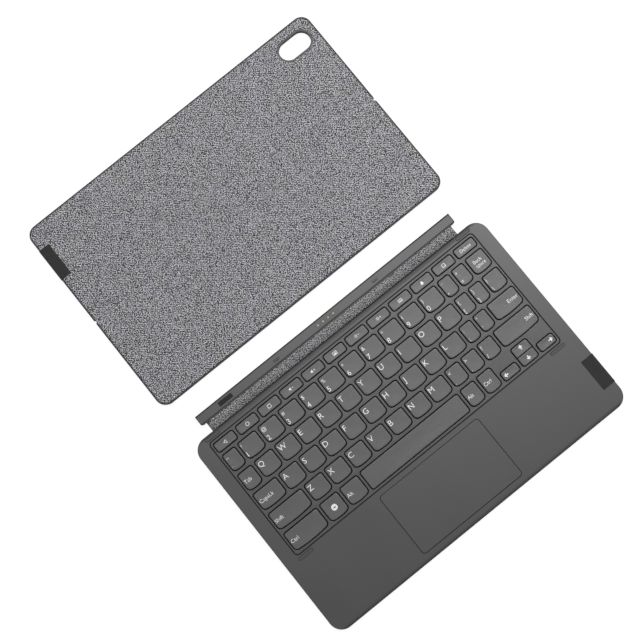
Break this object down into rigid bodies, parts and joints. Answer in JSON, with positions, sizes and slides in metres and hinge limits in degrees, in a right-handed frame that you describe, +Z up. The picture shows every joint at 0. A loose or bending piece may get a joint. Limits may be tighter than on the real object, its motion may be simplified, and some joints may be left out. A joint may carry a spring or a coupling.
{
  "type": "tablet keyboard case",
  "caption": "Slim keyboard deck with trackpad and a fabric-hinged magnetic dock bar, with a separate fabric back cover whose lower half folds out as a kickstand.",
  "frame": {"origin": "centre of the keyboard deck's flat underside, on the surface that the case lies on", "axes": "+X to the typist's right, +Y away from the typist towards the dock bar and the cover, +Z up out of the keys"},
  "size_m": [0.2617, 0.3628, 0.006],
  "materials": {
    "soft_touch_shell": "soft-touch matte",
    "rim_plastic": "matte",
    "key_cap": "fine matte",
    "trackpad_surface": "smooth matte",
    "black_plastic": "matte",
    "membrane_film": "smooth",
    "silicone": "smooth",
    "bumper_rubber": "matte",
    "steel": "brushed",
    "magnet": "nickel plated",
    "circuit_board": "solder mask",
    "flex_film": "polyimide film",
    "gold_contact": "gold plated",
    "woven_tag": "woven ribbon",
    "woven_fabric": "heathered plain weave",
    "lining": "brushed microfibre"
  },
  "bodies": {
    "deck": {"deck_top_shell": "soft_touch_shell", "key_frame": "soft_touch_shell", "deck_bottom_shell": "soft_touch_shell", "key_backplate": "steel", "key_membrane": "membrane_film", "rubber_domes": "silicone", "scissor_frames": "black_plastic", "plate_screws": "steel", "trackpad_spring": "steel", "click_switch": "steel", "main_board": "circuit_board", "flex_cable": "flex_film", "deck_magnets": "magnet", "rubber_bumpers": "bumper_rubber", "deck_tag": "woven_tag"},
    "touchpad": {"trackpad": "trackpad_surface"},
    "dock_strip": {"hinge_fabric": "woven_fabric"},
    "dock_bar": {"bar_top_shell": "soft_touch_shell", "bar_bottom_shell": "soft_touch_shell", "pin_block": "soft_touch_shell", "locating_lugs": "black_plastic", "bar_magnets": "magnet"},
    "dock_pins": {"contact_pins": "gold_contact"},
    "cover_panel": {"cover_board": "rim_plastic", "cover_fabric": "woven_fabric", "cover_lining": "lining", "cover_magnets": "magnet", "camera_ring": "rim_plastic", "cover_tag": "woven_tag", "cover_hinge_leaves": "steel"},
    "fold_spine": {"hinge_links": "steel", "hinge_pins": "steel", "fold_fabric": "woven_fabric"},
    "kickstand": {"stand_board": "rim_plastic", "stand_fabric": "woven_fabric", "stand_lining": "lining", "stand_hinge_leaves": "steel"},
    "keys_function_row": {"keys_function_row": "key_cap"},
    "key_delete": {"key_delete": "key_cap"},
    "keys_number_row": {"keys_number_row": "key_cap"},
    "key_backspace": {"key_backspace": "key_cap"},
    "key_tab": {"key_tab": "key_cap"},
    "keys_q_row": {"keys_q_row": "key_cap"},
    "key_caps_lock": {"key_caps_lock": "key_cap"},
    "keys_a_row": {"keys_a_row": "key_cap"},
    "key_enter": {"key_enter": "key_cap"},
    "key_left_shift": {"key_left_shift": "key_cap"},
    "keys_z_row": {"keys_z_row": "key_cap"},
    "key_right_shift": {"key_right_shift": "key_cap"},
    "key_left_ctrl": {"key_left_ctrl": "key_cap"},
    "key_system": {"key_system": "key_cap"},
    "key_left_alt": {"key_left_alt": "key_cap"},
    "key_space": {"key_space": "key_cap"},
    "key_right_alt": {"key_right_alt": "key_cap"},
    "key_right_ctrl": {"key_right_ctrl": "key_cap"},
    "key_arrow_left": {"key_arrow_left": "key_cap"},
    "key_arrow_up": {"key_arrow_up": "key_cap"},
    "key_arrow_down": {"key_arrow_down": "key_cap"},
    "key_arrow_right": {"key_arrow_right": "key_cap"}
  },
  "joints": [
    {"name": "kickstand_fold", "type": "hinge", "parent": "cover_panel", "child": "fold_spine", "pos_m": [-0.0008, 0.1987, 0.0019], "axis": [-1, 0, 0], "range_deg": [0, 82.5], "deforming": ["fold_fabric"]},
    {"name": "kickstand_fold_lower", "type": "hinge", "parent": "fold_spine", "child": "kickstand", "pos_m": [-0.0008, 0.1946, 0.0019], "axis": [-1, 0, 0], "range_deg": [0, 82.5]},
    {"name": "strip_bend", "type": "hinge", "parent": "deck", "child": "dock_strip", "pos_m": [0, 0.0835, 0.0006], "axis": [1, 0, 0], "range_deg": [-90, 45]},
    {"name": "bar_bend", "type": "hinge", "parent": "dock_strip", "child": "dock_bar", "pos_m": [0, 0.0897, 0.0006], "axis": [1, 0, 0], "range_deg": [-90, 45]},
    {"name": "cover_lift", "type": "slide", "parent": "deck", "child": "cover_panel", "axis": [0, 0, 1], "range_m": [0, 0.12]},
    {"name": "trackpad_click", "type": "hinge", "parent": "deck", "child": "touchpad", "pos_m": [-0.00515, -0.0306, 0.0041], "axis": [1, 0, 0], "range_deg": [0, 0.623], "stiffness_Nm_per_rad": 3, "springref_deg": -0.11},
    {"name": "contact_pins_press", "type": "slide", "parent": "dock_bar", "child": "dock_pins", "axis": [0, 0, -1], "range_m": [0, 0.00055], "stiffness_N_per_m": 3600, "springref_m": -0.0001},
    {"name": "key_space_press", "type": "slide", "parent": "deck", "child": "key_space", "axis": [0, 0, -1], "range_m": [0, 0.0012], "stiffness_N_per_m": 500, "springref_m": -0.0002},
    {"name": "key_enter_press", "type": "slide", "parent": "deck", "child": "key_enter", "axis": [0, 0, -1], "range_m": [0, 0.0012], "stiffness_N_per_m": 500, "springref_m": -0.0002},
    {"name": "key_left_shift_press", "type": "slide", "parent": "deck", "child": "key_left_shift", "axis": [0, 0, -1], "range_m": [0, 0.0012], "stiffness_N_per_m": 500, "springref_m": -0.0002},
    {"name": "key_arrow_up_press", "type": "slide", "parent": "deck", "child": "key_arrow_up", "axis": [0, 0, -1], "range_m": [0, 0.0012], "stiffness_N_per_m": 500, "springref_m": -0.0002},
    {"name": "keys_q_row_press", "type": "slide", "parent": "deck", "child": "keys_q_row", "axis": [0, 0, -1], "range_m": [0, 0.0012], "stiffness_N_per_m": 6500, "springref_m": -0.0002},
    {"name": "keys_a_row_press", "type": "slide", "parent": "deck", "child": "keys_a_row", "axis": [0, 0, -1], "range_m": [0, 0.0012], "stiffness_N_per_m": 5500, "springref_m": -0.0002},
    {"name": "keys_z_row_press", "type": "slide", "parent": "deck", "child": "keys_z_row", "axis": [0, 0, -1], "range_m": [0, 0.0012], "stiffness_N_per_m": 5000, "springref_m": -0.0002},
    {"name": "keys_number_row_press", "type": "slide", "parent": "deck", "child": "keys_number_row", "axis": [0, 0, -1], "range_m": [0, 0.0012], "stiffness_N_per_m": 6500, "springref_m": -0.0002},
    {"name": "keys_function_row_press", "type": "slide", "parent": "deck", "child": "keys_function_row", "axis": [0, 0, -1], "range_m": [0, 0.0012], "stiffness_N_per_m": 5500, "springref_m": -0.0002},
    {"name": "key_delete_press", "type": "slide", "parent": "deck", "child": "key_delete", "axis": [0, 0, -1], "range_m": [0, 0.0012], "stiffness_N_per_m": 500, "springref_m": -0.0002},
    {"name": "key_backspace_press", "type": "slide", "parent": "deck", "child": "key_backspace", "axis": [0, 0, -1], "range_m": [0, 0.0012], "stiffness_N_per_m": 500, "springref_m": -0.0002},
    {"name": "key_tab_press", "type": "slide", "parent": "deck", "child": "key_tab", "axis": [0, 0, -1], "range_m": [0, 0.0012], "stiffness_N_per_m": 500, "springref_m": -0.0002},
    {"name": "key_caps_lock_press", "type": "slide", "parent": "deck", "child": "key_caps_lock", "axis": [0, 0, -1], "range_m": [0, 0.0012], "stiffness_N_per_m": 500, "springref_m": -0.0002},
    {"name": "key_right_shift_press", "type": "slide", "parent": "deck", "child": "key_right_shift", "axis": [0, 0, -1], "range_m": [0, 0.0012], "stiffness_N_per_m": 500, "springref_m": -0.0002},
    {"name": "key_left_ctrl_press", "type": "slide", "parent": "deck", "child": "key_left_ctrl", "axis": [0, 0, -1], "range_m": [0, 0.0012], "stiffness_N_per_m": 500, "springref_m": -0.0002},
    {"name": "key_system_press", "type": "slide", "parent": "deck", "child": "key_system", "axis": [0, 0, -1], "range_m": [0, 0.0012], "stiffness_N_per_m": 500, "springref_m": -0.0002},
    {"name": "key_left_alt_press", "type": "slide", "parent": "deck", "child": "key_left_alt", "axis": [0, 0, -1], "range_m": [0, 0.0012], "stiffness_N_per_m": 500, "springref_m": -0.0002},
    {"name": "key_right_alt_press", "type": "slide", "parent": "deck", "child": "key_right_alt", "axis": [0, 0, -1], "range_m": [0, 0.0012], "stiffness_N_per_m": 500, "springref_m": -0.0002},
    {"name": "key_right_ctrl_press", "type": "slide", "parent": "deck", "child": "key_right_ctrl", "axis": [0, 0, -1], "range_m": [0, 0.0012], "stiffness_N_per_m": 500, "springref_m": -0.0002},
    {"name": "key_arrow_left_press", "type": "slide", "parent": "deck", "child": "key_arrow_left", "axis": [0, 0, -1], "range_m": [0, 0.0012], "stiffness_N_per_m": 500, "springref_m": -0.0002},
    {"name": "key_arrow_down_press", "type": "slide", "parent": "deck", "child": "key_arrow_down", "axis": [0, 0, -1], "range_m": [0, 0.0012], "stiffness_N_per_m": 500, "springref_m": -0.0002},
    {"name": "key_arrow_right_press", "type": "slide", "parent": "deck", "child": "key_arrow_right", "axis": [0, 0, -1], "range_m": [0, 0.0012], "stiffness_N_per_m": 500, "springref_m": -0.0002}
  ],
  "couplings": [
    {"joint": "kickstand_fold_lower", "follows": "kickstand_fold", "ratio": 1}
  ]
}
